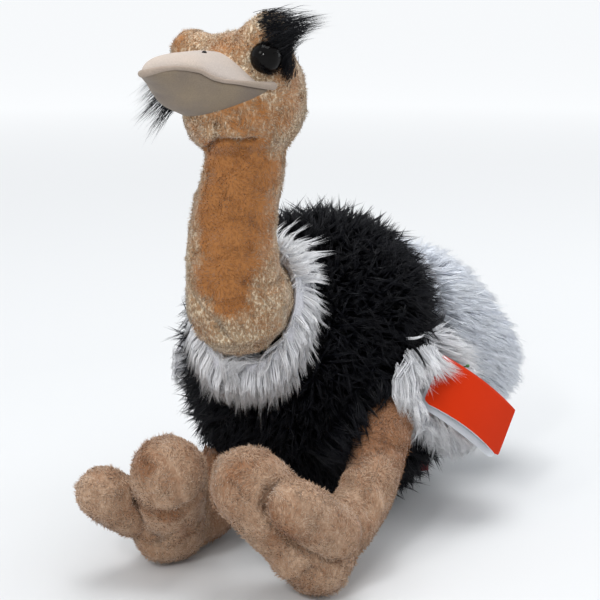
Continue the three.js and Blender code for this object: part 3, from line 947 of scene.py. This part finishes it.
def white_coat(pad, name, within, spacing, comb, stray, over, lock, thick, parts, material, seed, buried,
               clear=None):
    """Long white locks. comb gives, for each place, the pull on its lock, how far it stands off the pad, and
    its length. Neighbours share the drift of their ways and lengths."""
    chance = np.random.default_rng(seed)
    place, normal, flat = roots_on(pad, spacing, chance)
    keep = outside(place, buried, 1.0)
    place, normal, flat = place[keep], normal[keep], flat[keep]
    drift = swirl(place, 12, seed)
    pull, stand, length = comb(place)
    way = lean(normal, pull + 2 * stray * drift, stand, chance, stray)
    reach = length * (1 + 0.35 * drift[:, 0]) * chance.uniform(0.8, 1.1, len(place)) * MM
    reach = kept_in(place, way, reach, solids(*within), over)
    if clear:
        keep = clear(place, way, reach)
        place, normal, flat, way, reach = place[keep], normal[keep], flat[keep], way[keep], reach[keep]
    roots = (place, normal, flat)
    shag(name, roots, way, reach, lock, thick, 2, parts, material, "white_fur", seed + 2, 0.22)


def combed_from(middle, sag, stand, length):
    """A comb that draws every lock away from one place and a little down."""
    return lambda place: (unit(place - np.array(middle)) - np.array([0, 0, sag]), stand, length)


def ruff_comb(place):
    """The ruff hangs straight down in front, and stands off towards its sides and its top.
    Its locks get shorter towards the left."""
    high = np.clip((place[:, 2:] - at(0, 0, RUFF_TURN).z) / (35 * MM), 0, 1)
    leftward = np.clip((place[:, 0] - at(2, 0, 0).x) / (24 * MM), 0, 1)
    pull = unit(place - np.array(at(-2, -82, 142))) - (1.8 - 1.5 * high) * np.array([0, 0, 1])
    return pull, 0.1 + 0.25 * high, RUFF_LENGTH - RUFF_SHORTER * leftward


ruff = white_pad("ruff_pad", ["ruff"], 6)  # drawn in at both sides and below, by the depth of its own fur
points = points_of(ruff.data)
across = (points[:, 0] - TRUNK_MIDDLE.x) / MM - RUFF_LEFT_EDGE
points[:, 0] -= np.where(across < 0, across * (1 - RUFF_DRAW), 0) * MM
across += RUFF_LEFT_EDGE - RUFF_RIGHT_EDGE
points[:, 0] -= np.where(across > 0, across * (1 - RUFF_DRAW), 0) * MM
below = (points[:, 2] - TRUNK_MIDDLE.z) / MM - RUFF_TURN
points[:, 2] -= np.where(below < 0, below * (1 - RUFF_DROP), 0) * MM
move_points(ruff.data, points)
lay_flat(ruff)
white_coat(ruff, "ruff_coat", ["ruff", "body"], 2.9, ruff_comb, 0.05, 6.5, (12, 1.6, 0.6), 0.25, 1,
           white_shag, 31, solids("neck"))

# ---------- Tail ----------
# The tail is a broad stuffed pad of the same white shag. It is sewn to the rump and brushed out behind.
tail = white_pad("tail_pad", ["tail"], 9)
lay_flat(tail)
white_coat(tail, "tail_coat", ["tail", "body"], 3.2, combed_from(at(10, 30, 125), 0.1, 0.4, 26), 0.14, 5.0,
           (8, 2.3, 1.1), 0.33, 2, tail_shag, 34, solids("body"))

# ---------- Plumes ----------
# A plume of white shag on a thin pad is sewn below each wing. The left one spills over the top of the hang
# tag. A few single locks stray over the edges between black and white, and over the top of the left leg.
to_card = np.array(tag_frame.inverted())


def clear_of_card(place, way, reach):
    """Which locks pass neither through the card nor in front of it."""
    clear = np.ones(len(place), bool)
    for share in (0.0, 0.35, 0.7, 1.0):
        spot = place + way * reach[:, None] * share
        spot = (spot @ to_card[:3, :3].T + to_card[:3, 3]) / MM
        behind = spot[:, 1] < -1.5 - np.clip(spot[:, 2], 0, None) * 0.14
        beside = (spot[:, 0] < -6) | (spot[:, 0] > TAG_LENGTH + 4)
        beside |= (spot[:, 2] < -1) | (spot[:, 2] > TAG_HEIGHT + 5)
        clear &= behind | beside
    return clear


plumes = {side: white_pad(f"plume_pad_{side}", [f"plume_{side}"], 8) for side in ("left", "right")}
for side, sign in (("left", 1), ("right", -1)):
    lay_flat(plumes[side])
    comb = combed_from(at(sign * 58, -20, 125), 0.7, 0.25, 28)
    white_coat(plumes[side], f"plume_coat_{side}", [f"plume_{side}", "body"], 2.9, comb, 0.1, 4.5,
               (9, 1.8, 0.9), 0.25, 1, white_shag, 37 + sign, solids("body"),
               clear_of_card if side == "left" else None)


def few_locks(name, skin, roots, tips, count, loose, lock, thick, material, slot, seed):
    """A few locks from places along one path to places along another, standing off the coat below them."""
    chance = np.random.default_rng(seed)
    shares = chance.random(count)
    start = along_path(roots, shares) + chance.normal(size=(count, 3)) * loose * MM
    end = along_path(tips, np.clip(shares + chance.normal(size=count) * 0.1, 0, 1))
    end += chance.normal(size=(count, 3)) * 1.5 * loose * MM
    reach = np.linalg.norm(end - start, axis=1)
    tree = tree_of(skin)
    normal = np.array([tree.find_nearest(Vector(place))[1] for place in start])
    roots = (start, normal, flat_at(skin, start))
    shag(name, roots, unit(end - start), reach, lock, thick, 3, 1, material, slot, seed + 1, 0.3)


few_locks("plume_spill", plumes["left"], [at(66, -24, 104), at(72, -14, 105), at(75, -2, 104)],
          [at(82, -29, 84), at(89, -16, 87), at(94, 4, 90)], 46, 1.4, (7, 1.5, 0.8), 0.27, *white_fur, 62)
few_locks("plume_fringe", plumes["left"], [at(66, -33, 99), at(72, -28, 101)],
          [at(71, -48, 72), at(82, -42, 64)], 24, 1.4, (7, 1.5, 0.8), 0.27, *white_fur, 70)
few_locks("plume_fan", plumes["left"], [at(64, 6, 108), at(60, 20, 100), at(58, 28, 90)],
          [at(82, 34, 102), at(90, 42, 88), at(92, 44, 72)], 120, 2.8, (8, 1.8, 1.0), 0.3, *white_fur, 74)
few_locks("stray_white", trunk, [at(66, -20, 112)], [at(73, -8, 113)], 2, 0.3, (8, 0.6, 0.4), 0.26,
          *white_fur, 64)
few_locks("stray_black_up", trunk, [at(70, -4, 115)], [at(74, 22, 121)], 3, 0.6, (12, 0.9, 0.6), 0.26,
          *black_fur, 66)
few_locks("stray_black_down", trunk, [at(68, -19, 109)], [at(80, -24, 94)], 2, 0.5, (10, 0.8, 0.5), 0.26,
          *black_fur, 68)
few_locks("leg_top_fur_left", trunk,
          [at(60, -38, 96), at(52, -50, 86), at(47, -62, 76), at(42, -72, 66), at(36, -76, 56)],
          [at(65, -48, 84), at(62, -58, 76), at(61, -68, 67), at(58, -80, 60), at(54, -86, 50)],
          90, 2.4, (5, 1.7, 0.5), 0.34, *black_fur, 72)

# ---------- Side label ----------
# A dark red woven ribbon is folded in half and sewn by its ends into the seam on the left of the trunk.
# Most of it is hidden in the shag.
LABEL_LENGTH, LABEL_HEIGHT, LABEL_GAP, LABEL_THICK = 14, 10, 0.5, 0.25
label_frame = Matrix.Translation(at(53, 35, 18)) @ Matrix.Rotation(math.radians(35), 4, "Z")
label_red, label_tree, label_shader, label_place = finish_material("woven red")
weave = node(label_tree, "TexWave", {"Vector": label_place, "Scale": 900, "Distortion": 0.5}).outputs["Fac"]
label_tone = blend(label_tree, weave, (0.10, 0.006, 0.008), (0.22, 0.012, 0.016))
dress(label_tree, label_shader, label_tone, {"Roughness": 0.6}, weave, 0.3, 0.1)
form = bmesh.new()
bmesh.ops.create_grid(form, x_segments=40, y_segments=8, size=1)
for vert in form.verts:
    fold, high = vert.co.x, vert.co.y * LABEL_HEIGHT / 2
    along = (1 - abs(fold)) * LABEL_LENGTH - LABEL_LENGTH / 2
    gap = LABEL_GAP * math.copysign(1 - (1 - min(1.0, abs(fold) * 8)) ** 2, fold)
    vert.co = label_frame @ (Vector((along, gap, high + 0.6 * math.sin(along * 0.25))) * MM)
label = new_piece("folded_label", form, label_red)
cloth = label.modifiers.new("cloth", "SOLIDIFY")
cloth.thickness = LABEL_THICK * MM
settle(label)
label.data.shade_smooth()
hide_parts("side_label")
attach(label, "root")

# ---------- Studio ----------
# The toy sits on a plain white floor under one broad overhead light, with a weak light in front, one behind,
# and a small one that the eyes catch. The floor glows a little further out, as one that is lit does.
CAMERA_PLACE = Vector((0.3618, -0.7979, 0.326))
CAMERA_DIP, CAMERA_TURN, CAMERA_LENS, CAMERA_SENSOR = 12.6, 25, 91.92, 36
camera = placed("camera", bpy.data.cameras.new("camera"))
camera.location = CAMERA_PLACE
camera.rotation_euler = (math.radians(90 - CAMERA_DIP), 0, math.radians(CAMERA_TURN))
camera.data.lens = CAMERA_LENS
camera.data.sensor_width = CAMERA_SENSOR
bpy.context.scene.camera = camera

world = bpy.data.worlds.new("studio")
bpy.context.scene.world = world
world.use_nodes = True
sky = world.node_tree
sky.nodes["Background"].inputs["Color"].default_value = (0.96, 0.98, 1.0, 1)
sky_height = node(sky, "SeparateXYZ", {0: node(sky, "TexCoord").outputs["Generated"]}).outputs["Z"]
sky.links.new(ramp(sky, sky_height, 0.0, 0.35, 0.95, 0.73), sky.nodes["Background"].inputs["Strength"])
bpy.context.scene.view_settings.view_transform = "Standard"


def soft_box(name, place, aim_at, size, power, colour=(1, 1, 1)):
    lamp = placed(name, bpy.data.lights.new(name, "AREA"))
    lamp.location = place
    lamp.rotation_euler = (Vector(aim_at) - Vector(place)).to_track_quat("-Z", "Y").to_euler()
    lamp.data.size = size
    lamp.data.energy = power
    lamp.data.color = colour


soft_box("overhead", (0.0, 0.1, 1.5), (0, 0, 0.1), 1.0, 12.5)
soft_box("key", (-0.45, -1.1, 1.1), (0, 0, 0.2), 0.35, 2.2, (1.0, 0.99, 0.97))
soft_box("side_fill", (1.0, 1.2, 0.7), (0.05, 0.12, 0.08), 0.8, 3.5, (0.95, 0.97, 1.0))
soft_box("catch_light", (0.1, -1.0, 0.75), (0, -0.1, 0.25), 0.12, 2.4)

FLOOR_SIZE, GLOW_FROM, GLOW_TO, GLOW = 30, 0.4, 2.6, 0.42
floor_form = bmesh.new()
bmesh.ops.create_grid(floor_form, x_segments=1, y_segments=1, size=FLOOR_SIZE)
floor_white, floor_tree, floor_shader, floor_place = finish_material("white floor")
floor_far = vector_maths(floor_tree, "LENGTH", floor_place)
floor_glow = scaled(floor_tree, (1, 1, 1), ramp(floor_tree, floor_far, GLOW_FROM, GLOW_TO, 0.0, GLOW))
floor_tree.links.new(floor_glow, floor_shader.inputs["Emission Color"])
for title, value in (("Base Color", (0.72, 0.73, 0.74, 1)), ("Roughness", 0.9), ("Specular IOR Level", 0.0),
                     ("Emission Strength", 1.0)):
    floor_shader.inputs[title].default_value = value
floor = new_piece("floor", floor_form, floor_white)
